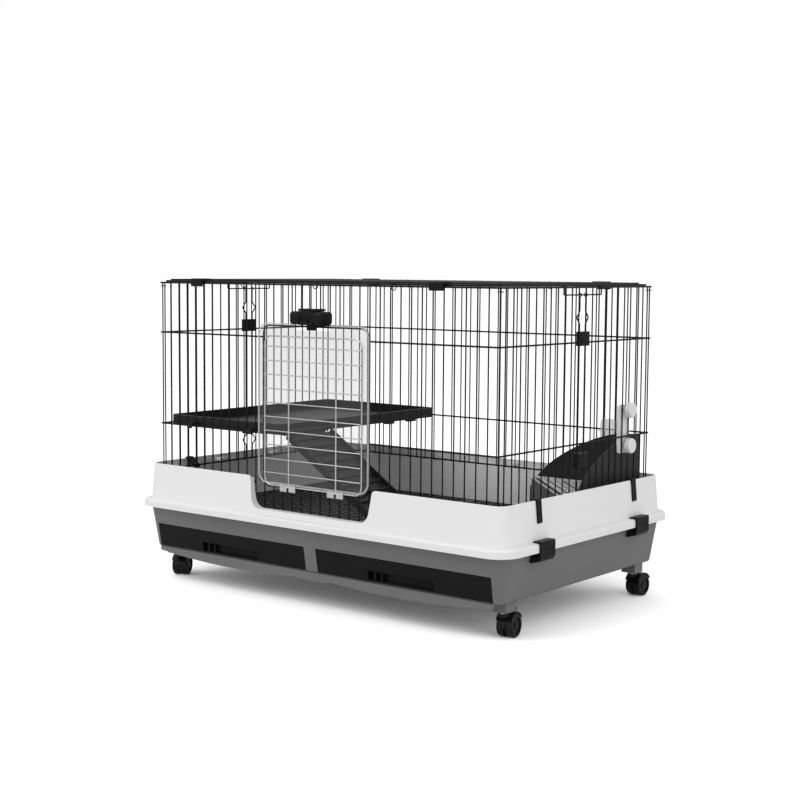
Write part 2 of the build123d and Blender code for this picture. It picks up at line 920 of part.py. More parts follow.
with BuildPart() as door_ring:
    wire_loop(
        (0, (door_low + door_top) / 2),
        door_half,
        (door_top - door_low) / 2,
        door_corner,
        Plane.XZ.offset(panel_y),
        rail_radius,
    )
save(door_ring.part, "door_ring")

with BuildPart() as panel_back:
    upright(
        [(front_bar_x(i), bar_plane_y) for i in all_bars],
        ledge_top,
        top_rail_z + rail_radius,
        bar_radius,
    )
    for z in (base_rail_z, lower_rail_z, upper_rail_z, top_rail_z):
        rod((-panel_x - 1.5, panel_y, z), (panel_x + 1.5, panel_y, z), rail_radius)
save(panel_back.part, "panel_back")


def make_side_panel(side):
    end_bar_y = bar_plane_y - corner_bar_shift
    with BuildPart() as panel:
        rows = [side_bar_y(i) for i in range(1, side_spaces)] + [-end_bar_y, end_bar_y]
        upright(
            [(side * bar_plane_x, y) for y in rows],
            ledge_top,
            top_rail_z + rail_radius,
            bar_radius,
        )
        for z in (base_rail_z, lower_rail_z, upper_rail_z, top_rail_z):
            rod((side * panel_x, -side_rail_end, z), (side * panel_x, side_rail_end, z), rail_radius)
    return panel.part


save(make_side_panel(-1), "panel_left")
save(make_side_panel(1), "panel_right")


# Fixed top panel: a frame, bars over its two ends and a catch wire over each end rail
with BuildPart() as top_panel:
    wire_loop((0, 0), top_frame_half_x, top_frame_half_y, 8, Plane.XY.offset(top_frame_z), rail_radius)
    for side in (-1, 1):
        for index in (1, 2, 3):
            x = side * (panel_x - index * front_pitch)
            rod((x, -top_frame_half_y, top_bar_z), (x, top_frame_half_y, top_bar_z), bar_radius)
        near = side * (panel_x - 3 * front_pitch - bar_radius)
        far = side * (top_frame_half_x - rail_radius - weld_gap)
        for y in (-110, 0, 110):
            rod((near, y, top_frame_z), (far, y, top_frame_z), rail_radius)
        catch_z = top_rail_z + rail_radius + catch_wire + weld_gap
        catch_start = side * (top_frame_half_x + rail_radius + 0.1)
        bent_wire(
            [
                (catch_start, -catch_half, catch_z),
                (side * tie_x, -catch_half, catch_z),
                (side * tie_x, -catch_half, catch_low),
                (side * tie_x, catch_half, catch_low),
                (side * tie_x, catch_half, catch_z),
                (catch_start, catch_half, catch_z),
            ],
            2.5,
            catch_wire,
        )
save(top_panel.part, "top_panel")

with BuildPart() as top_hatch:
    wire_loop((0, 0), hatch_half_x, hatch_half_y, 8, Plane.XY.offset(top_frame_z), rail_radius)
    hatch_bars = [front_bar_x(i) for i in all_bars if abs(front_bar_x(i)) < hatch_half_x - 10]
    for x in hatch_bars:
        reach = hatch_half_y + rail_radius
        rod((x, -reach, top_bar_z), (x, reach, top_bar_z), bar_radius)
    stay_end = hatch_half_x - rail_radius - weld_gap
    for y in (-hatch_stay_y, hatch_stay_y):
        rod((-stay_end, y, top_frame_z), (stay_end, y, top_frame_z), rail_radius)
save(top_hatch.part, "top_hatch")

with BuildPart() as panel_rings:
    for y_side in (-1, 1):
        for x in (-tie_ring_x, 0, tie_ring_x):
            centre = (x, y_side * (panel_y - 2), top_rail_z)
            ring(centre, (1, 0, 0), tie_ring_major, tie_ring_wire)
        for x_side in (-1, 1):
            centre = (
                x_side * (panel_x - corner_bar_shift / 2),
                y_side * (bar_plane_y - corner_bar_shift / 2),
                corner_ring_z,
            )
            ring(centre, (0, 0, 1), corner_ring_major, tie_ring_wire)
save(panel_rings.part, "panel_rings")


# Top clips: a narrow barrel round the hatch wire and a wide arm that reaches over the rail
def clip_shape(x, side):
    wire_y = side * hatch_half_y
    arm_low = top_frame_z + rail_radius + 0.45
    arm_top = arm_low + clip_thickness
    outer = side * (panel_y + rail_radius + 3.6)
    lip_inner = side * (panel_y + rail_radius + 0.8)
    wide_start = side * (hatch_half_y + 10)
    half_neck = clip_neck / 2
    half_wide = clip_width / 2
    rod((x - half_neck, wire_y, top_frame_z), (x + half_neck, wire_y, top_frame_z), clip_barrel_radius)
    end_profile(
        [
            (wire_y, top_frame_z + 1),
            (wire_y + side * 3, top_frame_z),
            (wire_y + side * 6, arm_low),
            (wide_start + side, arm_low),
            (wide_start + side, arm_top),
            (wire_y + side * 2, arm_top),
            (wire_y - side, top_frame_z + 3),
        ],
        (x - half_neck, x + half_neck),
    )
    end_profile(
        [
            (wide_start, arm_low),
            (lip_inner, arm_low),
            (lip_inner, clip_lip_low),
            (outer, clip_lip_low + 1),
            (outer, arm_top - 1.5),
            (outer - side * 1.5, arm_top),
            (wide_start, arm_top),
        ],
        (x - half_wide, x + half_wide),
    )
    rod(
        (x - half_neck - 1, wire_y, top_frame_z),
        (x + half_neck + 1, wire_y, top_frame_z),
        clip_bore_radius,
        mode=Mode.SUBTRACT,
    )


outer_clip_x = front_bar_x(4.5)
inner_clip_x = front_bar_x(5.5)

with BuildPart() as hatch_hinge_clips:
    clip_shape(inner_clip_x, 1)
    clip_shape(-outer_clip_x, 1)
save(hatch_hinge_clips.part, "hatch_hinge_clips")

with BuildPart() as hatch_clip_left:
    clip_shape(outer_clip_x, -1)
save(hatch_clip_left.part, "hatch_clip_left")

with BuildPart() as hatch_clip_right:
    clip_shape(-inner_clip_x, -1)
save(hatch_clip_right.part, "hatch_clip_right")


# End ties: two kinked wires that hang from the catch wire, each pair with two sliders
def make_end_tie(side):
    x = side * tie_x
    with BuildPart() as tie:
        for y_side in (-1, 1):
            straight = y_side * tie_half
            kink = y_side * kink_half
            bent_wire(
                [
                    (x, straight, tie_foot),
                    (x, straight, lower_kink_low),
                    (x, kink, (lower_kink_low + lower_kink_top) / 2),
                    (x, straight, lower_kink_top),
                    (x, straight, upper_kink_low),
                    (x, kink, (upper_kink_low + upper_kink_top) / 2),
                    (x, straight, upper_kink_top),
                    (x, straight, catch_low - 2.6),
                ],
                1.8,
                bar_radius,
            )
            ring((x, straight, catch_low), (0, 1, 0), 2.7, 0.9)
    return tie.part


def make_slider(side, low):
    x = side * tie_x
    near = panel_x + rail_radius + 0.5
    with BuildPart() as slider:
        reach = sorted((side * near, side * (near + slider_depth)))
        block(reach, (-slider_width / 2, slider_width / 2), (low, low + slider_height))
        fillet(slider.edges().filter_by(Axis.Z), 2)
        for ridge in (6, 11, 16):
            face = sorted((side * (near + slider_depth - 0.5), side * (near + slider_depth + 0.8)))
            block(face, (-11, 11), (low + ridge, low + ridge + 2))
        upright(
            [(x, -tie_half), (x, tie_half)],
            low - 1,
            low + slider_height + 1,
            bar_radius + running_gap,
            mode=Mode.SUBTRACT,
        )
    return slider.part


for end_name, side in (("left", -1), ("right", 1)):
    save(make_end_tie(side), "end_tie_" + end_name)
    save(make_slider(side, upper_slider_low), "slider_upper_" + end_name)
    save(make_slider(side, lower_slider_low), "slider_lower_" + end_name)


# Door: a clear cover, a wire grille on its outside and two hinge clips round the ring's bottom wire
with BuildPart() as door_cover:
    cover_middle = (cover_low + cover_top) / 2
    cover_rise = cover_top - cover_low
    with BuildSketch(Plane.XZ.offset(-cover_back_y)) as sheet:
        with Locations((0, cover_middle)):
            RectangleRounded(2 * cover_half, cover_rise, cover_corner)
        with Locations((0, cover_top)):
            Rectangle(2 * cover_notch_half, 2 * (cover_top - cover_notch_low), mode=Mode.SUBTRACT)
    extrude(amount=cover_thickness)
    bead_top = cover_notch_low - 4
    bead_low = cover_low + 4
    with BuildSketch(Plane.XZ.offset(-cover_back_y + cover_thickness)) as bead:
        with Locations((0, (bead_top + bead_low) / 2)):
            RectangleRounded(2 * bead_half + 2 * bead_width, bead_top - bead_low, cover_corner - 4)
            RectangleRounded(
                2 * bead_half,
                bead_top - bead_low - 2 * bead_width,
                cover_corner - 6,
                mode=Mode.SUBTRACT,
            )
        with Locations((0, bead_low)):
            Rectangle(2 * (grille_half + grille_wire) + 1, 2 * bead_width + 20, mode=Mode.SUBTRACT)
    extrude(amount=bead_height)
save(door_cover.part, "door_cover")

grille_y = cover_back_y - cover_thickness - grille_wire - weld_gap
cross_y = grille_y - grille_wire - grille_cross_wire - weld_gap

with BuildPart() as door_grille:
    wire_loop(
        (0, (grille_low + grille_top) / 2),
        grille_half,
        (grille_top - grille_low) / 2,
        grille_corner,
        Plane.XZ.offset(-grille_y),
        grille_wire,
    )
    upright(
        [(-grille_post_x, grille_y), (grille_post_x, grille_y)],
        grille_low + grille_wire + weld_gap,
        grille_top - grille_wire - weld_gap,
        grille_wire,
    )
    for index in range(grille_crosses):
        z = grille_cross_top - index * grille_pitch
        rod((-grille_half, cross_y, z), (grille_half, cross_y, z), grille_cross_wire)
save(door_grille.part, "door_grille")

with BuildPart() as door_hinge_clips:
    for bar_index in (15, 20):
        x = front_bar_x(bar_index)
        half = hinge_clip_half
        plate_back = grille_y - grille_wire - running_gap
        plate_front = plate_back - 1
        rod((x - half, -panel_y, door_low), (x + half, -panel_y, door_low), hinge_tube_radius)
        end_profile(
            [
                (-panel_y, door_low - hinge_tube_radius),
                (-panel_y, door_low - 1.8),
                (plate_back, door_low - 1.8),
                (plate_back, grille_low + 2.5),
                (plate_front, grille_low + 2.5),
                (plate_front, door_low - 5.5),
                (plate_back, door_low - 5.5),
                (plate_back, door_low - hinge_tube_radius),
            ],
            (x - half, x + half),
        )
        bar_slot = bar_radius + 1.2
        block(
            (x - bar_slot, x + bar_slot),
            (-panel_y - 3.4, -panel_y + 4),
            (door_low - 4, door_low + 4),
            mode=Mode.SUBTRACT,
        )
        block(
            (x - bar_slot, x + bar_slot),
            (plate_front - 1, -panel_y),
            (door_low - 7, door_low + 1.2),
            mode=Mode.SUBTRACT,
        )
        rod(
            (x - half - 1, -panel_y, door_low),
            (x + half + 1, -panel_y, door_low),
            rail_radius + running_gap,
            mode=Mode.SUBTRACT,
        )
save(door_hinge_clips.part, "door_hinge_clips")


# Latch: a body clamped on four bars above the door, and a slider whose tab holds the cover
with BuildPart() as latch_body:
    block((-latch_half, latch_half), (latch_front_y, latch_back_y), (latch_low, latch_top))
    upright_corners = latch_body.edges().filter_by(Axis.Z).group_by(Axis.Y)[0]
    fillet(upright_corners, 9)
    fillet(latch_body.edges().group_by(Axis.Z)[-1], 1.5)
    upright(
        [(front_bar_x(i), -bar_plane_y) for i in range(16, 20)],
        latch_low - 1,
        latch_top + 1,
        bar_radius + 0.1,
        mode=Mode.SUBTRACT,
    )
    slot_half = latch_tab_half + 0.4
    slot_y = (latch_tab_front_y - 0.4, latch_tab_back_y + 0.4)
    block((-slot_half, slot_half), slot_y, (latch_low - 1, latch_top + 1), mode=Mode.SUBTRACT)
    block(
        (-14, 12),
        (latch_front_y - 1, latch_front_y + 2),
        (latch_low + 4, latch_low + 13),
        mode=Mode.SUBTRACT,
    )
    block((-2, 4), (latch_front_y + 0.5, latch_front_y + 3), (latch_low + 4, latch_low + 13))
save(latch_body.part, "latch_body")

with BuildPart() as latch_slider:
    cap_low = latch_top + 0.4
    tab_y = (latch_tab_front_y, latch_tab_back_y)
    block((-latch_tab_half, latch_tab_half), tab_y, (latch_tab_low, cap_low + 1))
    block((-latch_cap_half, latch_cap_half), (-248, -224.5), (cap_low, latch_cap_top))
    fillet(latch_slider.edges().filter_by(Axis.Z).group_by(Axis.Y)[0], 4)
    upright(
        [(front_bar_x(i), -bar_plane_y) for i in range(17, 19)],
        cap_low - 1,
        latch_cap_top + 1,
        bar_radius + running_gap,
        mode=Mode.SUBTRACT,
    )
save(latch_slider.part, "latch_slider")


# Shelf: a rimmed tray with hooks over the lower wires and a rod for the ramp
with BuildPart() as shelf:
    shelf_length = shelf_right - shelf_left
    shelf_middle = (shelf_right + shelf_left) / 2
    with BuildSketch(Plane.XY.offset(shelf_low)):
        with Locations((shelf_middle, 0)):
            RectangleRounded(shelf_length, 2 * shelf_half_y, shelf_corner)
    extrude(amount=shelf_top - shelf_low)
    fillet(shelf.edges().group_by(Axis.Z)[-1], 1.5)
    with BuildSketch(Plane.XY.offset(shelf_low + shelf_floor)):
        with Locations((shelf_middle, 0)):
            RectangleRounded(
                shelf_length - 2 * shelf_wall,
                2 * shelf_half_y - 2 * shelf_wall,
                shelf_corner - shelf_wall,
            )
    extrude(amount=shelf_top - shelf_low, mode=Mode.SUBTRACT)
    hook_low_z = lower_rail_z + rail_radius + 0.7
    hook_half = shelf_hook_width / 2
    for y in (side_bar_y(4.5), side_bar_y(17.5)):
        side_profile(
            [
                (shelf_left + 1, hook_low_z),
                (-panel_x - rail_radius - 0.5, hook_low_z),
                (-panel_x - rail_radius - 0.5, lower_rail_z - 4),
                (-panel_x - rail_radius - 2.2, lower_rail_z - 4),
                (-panel_x - rail_radius - 2.2, hook_low_z + 2.5),
                (shelf_left + 1, hook_low_z + 3.5),
            ],
            (y - hook_half, y + hook_half),
        )
    for side in (-1, 1):
        for x in (front_bar_x(3.5), front_bar_x(10.5)):
            end_profile(
                [
                    (side * (shelf_half_y - 1), hook_low_z),
                    (side * (panel_y + rail_radius + 0.5), hook_low_z),
                    (side * (panel_y + rail_radius + 0.5), lower_rail_z - 4),
                    (side * (panel_y + rail_radius + 2.5), lower_rail_z - 4),
                    (side * (panel_y + rail_radius + 2.5), hook_low_z + 2.5),
                    (side * (shelf_half_y - 1), hook_low_z + 3.5),
                ],
                (x - hook_half, x + hook_half),
            )
    for y in (85, 150):
        block((shelf_right - 12, shelf_right - 1), (y - 10, y + 10), (shelf_low - 4, shelf_low + 1))
    lug_offset = 52
    for y_side in (-1, 1):
        y = ramp_centre_y + y_side * lug_offset
        side_profile(
            [
                (shelf_right - 1, shelf_low + 0.5),
                (ramp_rod_x, ramp_rod_z - 4.5),
                (ramp_rod_x + 4.5, ramp_rod_z - 2),
                (ramp_rod_x + 4.5, ramp_rod_z + 2),
                (ramp_rod_x, ramp_rod_z + 4.5),
                (shelf_right - 1, ramp_rod_z + 9),
            ],
            (y - 1.5, y + 1.5),
        )
    rod(
        (ramp_rod_x, ramp_centre_y - lug_offset, ramp_rod_z),
        (ramp_rod_x, ramp_centre_y + lug_offset, ramp_rod_z),
        ramp_rod_radius,
    )
save(shelf.part, "shelf")


# Ramp: built in its own sloping plane, with side rails and cross ribs
slope = radians(ramp_angle)
ramp_drop = ramp_rod_z - ramp_foot_z - ramp_thickness * cos(slope)
ramp_length = ramp_drop / sin(slope)
ramp_plane = Plane(
    origin=(ramp_rod_x, ramp_centre_y, ramp_rod_z),
    x_dir=(cos(slope), 0, -sin(slope)),
    z_dir=(sin(slope), 0, cos(slope)),
)
with BuildPart(ramp_plane) as ramp:
    half = ramp_width / 2
    block((9, ramp_length), (-half, half), (-ramp_thickness, 0))
    block((2, 12), (-46, 46), (-ramp_thickness, 0))
    for side in (-1, 1):
        rail = sorted((side * half, side * (half - 3)))
        block((9, ramp_length), rail, (-1, ramp_rail))
    ribs = int((ramp_length - 24) / ramp_rib_pitch)
    for index in range(ribs):
        x = 20 + index * ramp_rib_pitch
        block((x, x + 4), (-half + 2, half - 2), (-1, 3))
    with Locations(Location((0, 0, 0), (90, 0, 0))):
        Cylinder(ramp_rod_radius + 2.5, 92)
        Cylinder(ramp_rod_radius + running_gap, 100, mode=Mode.SUBTRACT)
save(ramp.part, "ramp")


# Corner litter pan, its lift-out grid and the splash guard behind it
def corner_triangle(inset_leg, inset_slope, corner):
    reach = pan_leg - inset_leg * 2 - inset_slope * 1.4142
    near_x = pan_x - inset_leg
    near_y = pan_y - inset_leg
    with BuildSketch(Plane.XY) as shape:
        Polygon((near_x - reach, near_y), (near_x, near_y - reach), (near_x, near_y), align=None)
        fillet(shape.vertices(), corner)
    return shape.sketch.face()


with BuildPart() as litter_pan:
    extrude(corner_triangle(0, 0, 6).moved(Location((0, 0, pan_low))), amount=pan_top - pan_low)
    inside = corner_triangle(pan_wall, pan_wall, 4)
    extrude(
        inside.moved(Location((0, 0, pan_low + pan_wall))),
        amount=pan_top - pan_low,
        mode=Mode.SUBTRACT,
    )
save(litter_pan.part, "litter_pan")

with BuildPart() as litter_grid:
    plate = corner_triangle(0.5, 0.5, 6)
    extrude(plate.moved(Location((0, 0, pan_top + running_gap))), amount=grid_thickness)
    slope_middle = (pan_x - pan_leg / 2, pan_y - pan_leg / 2)
    reach = pan_leg / 1.4142
    slots = []
    row = 0
    v = grid_border + 8
    while v < reach - 26:
        half_row = reach - v - 18
        count = int(2 * half_row / grid_pitch_u)
        for index in range(count):
            u = (index - (count - 1) / 2) * grid_pitch_u
            slots.append((u, v, 22 if row % 2 == 0 else -22))
        v += grid_pitch_v
        row += 1
    diagonal = 0.70711
    with BuildSketch(Plane.XY.offset(pan_top)) as openings:
        for u, v, tilt in slots:
            x = slope_middle[0] + (u + v) * diagonal
            y = slope_middle[1] + (v - u) * diagonal
            with Locations(Location((x, y), -45 + tilt)):
                Rectangle(grid_slot_length, grid_slot_width)
    extrude(openings.sketch, amount=grid_thickness + 2, mode=Mode.SUBTRACT)
save(litter_grid.part, "litter_grid")

with BuildPart() as splash_guard:
    inner_x = pan_x + running_gap
    inner_y = pan_y + running_gap
    outer_x = inner_x + splash_thickness
    outer_y = inner_y + splash_thickness
    start_x = pan_x - pan_leg
    start_y = pan_y - pan_leg
    block((start_x, outer_x), (inner_y, outer_y), (pan_low, splash_top))
    block((inner_x, outer_x), (start_y, outer_y), (pan_low, splash_top))
    with BuildSketch(Plane.XZ.offset(-outer_y - 1)) as back_waste:
        with BuildLine():
            curve = Spline(
                (start_x - 1, 168), (183, 221), (230, 250), (281, 272), (outer_x - 30, splash_top + 0.1)
            )
            Polyline(curve @ 1, (outer_x - 30, splash_top + 20), (start_x - 1, splash_top + 20), curve @ 0)
        make_face()
    extrude(back_waste.sketch, amount=splash_thickness + 1.8, mode=Mode.SUBTRACT)
    with BuildSketch(Plane.YZ.offset(outer_x + 1)) as side_waste:
        with BuildLine():
            curve = Spline(
                (start_y - 1, 160), (34, 221), (90, 256), (139, 274), (outer_y - 30, splash_top + 0.1)
            )
            Polyline(curve @ 1, (outer_y - 30, splash_top + 20), (start_y - 1, splash_top + 20), curve @ 0)
        make_face()
    extrude(side_waste.sketch, amount=-(splash_thickness + 1.8), mode=Mode.SUBTRACT)
save(splash_guard.part, "splash_guard")


# Clamp plate inside the right panel, with two knobs outside on bolts that pass between the bars
clamp_back_x = clamp_face_x + clamp_thickness
with BuildPart() as clamp_plate:
    block((clamp_face_x, clamp_back_x), (clamp_y - clamp_half, clamp_y + clamp_half), (clamp_low, clamp_top))
    fillet(clamp_plate.edges().filter_by(Axis.X), 5)
    for z in (lower_knob_z, upper_knob_z):
        rod(
            (clamp_face_x - 1, clamp_y, z),
            (clamp_back_x + 1, clamp_y, z),
            bolt_radius + running_gap,
            mode=Mode.SUBTRACT,
        )
save(clamp_plate.part, "clamp_plate")


def make_knob(z):
    with BuildPart() as knob:
        rod((knob_face_x, clamp_y, z), (knob_face_x + knob_depth, clamp_y, z), knob_radius)
        outer = knob.edges().filter_by(GeomType.CIRCLE).sort_by(Axis.X)[-1]
        fillet(outer, 3.5)
        for index in range(6):
            angle = radians(30 + 60 * index)
            spot_y = clamp_y + (knob_radius + 3) * cos(angle)
            spot_z = z + (knob_radius + 3) * sin(angle)
            start = (knob_face_x - 1, spot_y, spot_z)
            end = (knob_face_x + knob_depth + 1, spot_y, spot_z)
            rod(start, end, 4, mode=Mode.SUBTRACT)
        rod((clamp_face_x, clamp_y, z), (knob_face_x + 1, clamp_y, z), bolt_radius)
    return knob.part


save(make_knob(lower_knob_z), "knob_lower")
save(make_knob(upper_knob_z), "knob_upper")


# Translucent hook over the splash guard's back edge
with BuildPart() as pan_hook:
    hook_x = (281, 314)
    back_face = pan_y + running_gap + splash_thickness + running_gap
    block(hook_x, (back_face, back_face + 2.2), (262, 306))
    fillet(pan_hook.edges().filter_by(Axis.Y).group_by(Axis.Z)[-1], 9)
    block(hook_x, (pan_y - 3, back_face + 2), (splash_top + 0.6, splash_top + 3))
save(pan_hook.part, "pan_hook")
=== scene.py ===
import json
from math import radians

import bmesh
import bpy
from mathutils import Matrix, Vector


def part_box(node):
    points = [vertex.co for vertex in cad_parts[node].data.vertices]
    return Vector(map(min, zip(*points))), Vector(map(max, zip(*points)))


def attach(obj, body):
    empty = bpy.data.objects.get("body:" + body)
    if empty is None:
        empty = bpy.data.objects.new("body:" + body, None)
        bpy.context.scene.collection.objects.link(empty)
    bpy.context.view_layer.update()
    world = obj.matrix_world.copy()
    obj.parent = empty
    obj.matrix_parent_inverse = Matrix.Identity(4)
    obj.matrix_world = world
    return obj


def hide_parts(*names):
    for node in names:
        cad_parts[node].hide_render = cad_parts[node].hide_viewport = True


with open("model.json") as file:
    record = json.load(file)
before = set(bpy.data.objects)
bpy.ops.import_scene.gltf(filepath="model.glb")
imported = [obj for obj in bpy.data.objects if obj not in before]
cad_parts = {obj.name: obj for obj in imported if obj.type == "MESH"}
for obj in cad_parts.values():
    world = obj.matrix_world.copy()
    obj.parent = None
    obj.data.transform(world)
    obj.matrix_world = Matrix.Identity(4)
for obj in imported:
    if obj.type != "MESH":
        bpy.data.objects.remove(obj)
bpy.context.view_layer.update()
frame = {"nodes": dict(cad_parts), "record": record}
scene = bpy.context.scene
print("stage: frame loaded")

# View and lens follow the photograph; azimuth turns the camera towards +X
cameraView = {
    "place": (1.6251, -2.0394, 0.5662),
    "azimuth": 38.56,
    "pitchDown": 5.06,
    "roll": 0.42,
    "lens": 66.26,
    "sensor": 36.0,
}


def makeCamera(view):
    data = bpy.data.cameras.new("photoCamera")
    data.lens = view["lens"]
    data.sensor_width = view["sensor"]
    data.sensor_fit = "HORIZONTAL"
    camera = bpy.data.objects.new("photoCamera", data)
    scene.collection.objects.link(camera)
    turn = Matrix.Rotation(radians(view["azimuth"]), 4, "Z")
    tilt = Matrix.Rotation(radians(90 - view["pitchDown"]), 4, "X")
    roll = Matrix.Rotation(radians(view["roll"]), 4, "Z")
    camera.matrix_world = Matrix.Translation(view["place"]) @ turn @ tilt @ roll
    scene.camera = camera


makeCamera(cameraView)
scene.view_settings.view_transform = "Standard"

# Lamps are soft and wide; the world is pale grey on the object and white where it shows
studio = {
    "worldLevel": 0.74,
    "worldColor": (0.95, 0.95, 0.95, 1),
    "lampAim": (0, 0, 0.25),
    "keyPower": 44,
    "keyPlace": (-1.2, -2.6, 2.6),
    "keySize": 2.4,
    "fillPower": 20,
    "fillPlace": (2.8, -0.6, 1.6),
    "fillSize": 2.2,
    "floorHalf": 30.0,
    "floorColor": (0.7, 0.7, 0.7, 1),
    "floorSeen": (1.5, 1.5, 1.5, 1),
    "floorLift": 0.04,
}


def makeWorld():
    world = bpy.data.worlds.new("studioWorld")
    scene.world = world
    world.use_nodes = True
    tree = world.node_tree
    tree.nodes.clear()
    out = tree.nodes.new("ShaderNodeOutputWorld")
    soft = tree.nodes.new("ShaderNodeBackground")
    soft.inputs["Color"].default_value = studio["worldColor"]
    soft.inputs["Strength"].default_value = studio["worldLevel"]
    white = tree.nodes.new("ShaderNodeBackground")
    white.inputs["Color"].default_value = (1, 1, 1, 1)
    path = tree.nodes.new("ShaderNodeLightPath")
    either = tree.nodes.new("ShaderNodeMath")
    either.operation = "MAXIMUM"
    mix = tree.nodes.new("ShaderNodeMixShader")
    tree.links.new(path.outputs["Is Camera Ray"], either.inputs[0])
    tree.links.new(path.outputs["Is Transmission Ray"], either.inputs[1])
    tree.links.new(either.outputs[0], mix.inputs[0])
    tree.links.new(soft.outputs[0], mix.inputs[1])
    tree.links.new(white.outputs[0], mix.inputs[2])
    tree.links.new(mix.outputs[0], out.inputs["Surface"])


def makeLamp(name, place, power, size):
    data = bpy.data.lights.new(name, "AREA")
    data.energy = power
    data.size = size
    lamp = bpy.data.objects.new(name, data)
    scene.collection.objects.link(lamp)
    lamp.location = place
    aim = Vector(studio["lampAim"]) - Vector(place)
    lamp.rotation_euler = aim.to_track_quat("-Z", "Y").to_euler()


def makeFloor():
    bm = bmesh.new()
    bmesh.ops.create_grid(bm, x_segments=1, y_segments=1, size=studio["floorHalf"])
    mesh = bpy.data.meshes.new("studioFloor")
    bm.to_mesh(mesh)
    bm.free()
    floor = bpy.data.objects.new("studioFloor", mesh)
    scene.collection.objects.link(floor)
    material = bpy.data.materials.new("studioPaper")
    material.use_nodes = True
    tree = material.node_tree
    tree.nodes.clear()
    out = tree.nodes.new("ShaderNodeOutputMaterial")
    paper = tree.nodes.new("ShaderNodeBsdfDiffuse")
    paper.inputs["Color"].default_value = studio["floorColor"]
    seen = tree.nodes.new("ShaderNodeBsdfDiffuse")
    seen.inputs["Color"].default_value = studio["floorSeen"]
    lift = tree.nodes.new("ShaderNodeEmission")
    lift.inputs["Strength"].default_value = studio["floorLift"]
    path = tree.nodes.new("ShaderNodeLightPath")
    add = tree.nodes.new("ShaderNodeAddShader")
    mix = tree.nodes.new("ShaderNodeMixShader")
    tree.links.new(seen.outputs[0], add.inputs[0])
    tree.links.new(lift.outputs[0], add.inputs[1])
    tree.links.new(path.outputs["Is Camera Ray"], mix.inputs[0])
    tree.links.new(paper.outputs[0], mix.inputs[1])
    tree.links.new(add.outputs[0], mix.inputs[2])
    tree.links.new(mix.outputs[0], out.inputs["Surface"])
    mesh.materials.append(material)


makeWorld()
makeLamp("keyLamp", studio["keyPlace"], studio["keyPower"], studio["keySize"])
makeLamp("fillLamp", studio["fillPlace"], studio["fillPower"], studio["fillSize"])
makeFloor()
print("stage: studio ready")


def newGroup(name, inputs, outputs):
    group = bpy.data.node_groups.new(name, "ShaderNodeTree")
    for label, kind, value in inputs:
        socket = group.interface.new_socket(label, in_out="INPUT", socket_type=kind)
        socket.default_value = value
    for label, kind in outputs:
        group.interface.new_socket(label, in_out="OUTPUT", socket_type=kind)
    return group


# Slow mottle in the colour and gloss, fine grain in the bump
grainLook = {"mottleDetail": 3, "grainDetail": 2, "bumpReach": 0.0004}


def makeSurfaceGrain():
    group = newGroup(
        "surfaceGrain",
        [
            ("Base", "NodeSocketColor", (0.5, 0.5, 0.5, 1)),
            ("Tint", "NodeSocketColor", (0.4, 0.4, 0.4, 1)),
            ("Mottle Scale", "NodeSocketFloat", 14.0),
            ("Grain Scale", "NodeSocketFloat", 900.0),
            ("Grain Height", "NodeSocketFloat", 0.1),
            ("Rough Low", "NodeSocketFloat", 0.4),
            ("Rough High", "NodeSocketFloat", 0.5),
        ],
        [
            ("Color", "NodeSocketColor"),
            ("Roughness", "NodeSocketFloat"),
            ("Normal", "NodeSocketVector"),
        ],
    )
    nodes, links = group.nodes, group.links
    start = nodes.new("NodeGroupInput")
    end = nodes.new("NodeGroupOutput")
    place = nodes.new("ShaderNodeTexCoord")
    mottle = nodes.new("ShaderNodeTexNoise")
    mottle.inputs["Detail"].default_value = grainLook["mottleDetail"]
    grain = nodes.new("ShaderNodeTexNoise")
    grain.inputs["Detail"].default_value = grainLook["grainDetail"]
    colour = nodes.new("ShaderNodeMix")
    colour.data_type = "RGBA"
    rough = nodes.new("ShaderNodeMapRange")
    bump = nodes.new("ShaderNodeBump")
    bump.inputs["Distance"].default_value = grainLook["bumpReach"]
    links.new(place.outputs["Object"], mottle.inputs["Vector"])
    links.new(place.outputs["Object"], grain.inputs["Vector"])
    links.new(start.outputs["Mottle Scale"], mottle.inputs["Scale"])
    links.new(start.outputs["Grain Scale"], grain.inputs["Scale"])
    links.new(mottle.outputs["Fac"], colour.inputs["Factor"])
    links.new(start.outputs["Base"], colour.inputs["A"])
    links.new(start.outputs["Tint"], colour.inputs["B"])
    links.new(mottle.outputs["Fac"], rough.inputs["Value"])
    links.new(start.outputs["Rough Low"], rough.inputs["To Min"])
    links.new(start.outputs["Rough High"], rough.inputs["To Max"])
    links.new(grain.outputs["Fac"], bump.inputs["Height"])
    links.new(start.outputs["Grain Height"], bump.inputs["Strength"])
    links.new(colour.outputs["Result"], end.inputs["Color"])
    links.new(rough.outputs["Result"], end.inputs["Roughness"])
    links.new(bump.outputs["Normal"], end.inputs["Normal"])
    return group


# Paler in patches where a surface faces up; on the floor grate this is a painted sheen along the web
upFacingPaleLook = {"patchScale": 45, "patchDetail": 4}


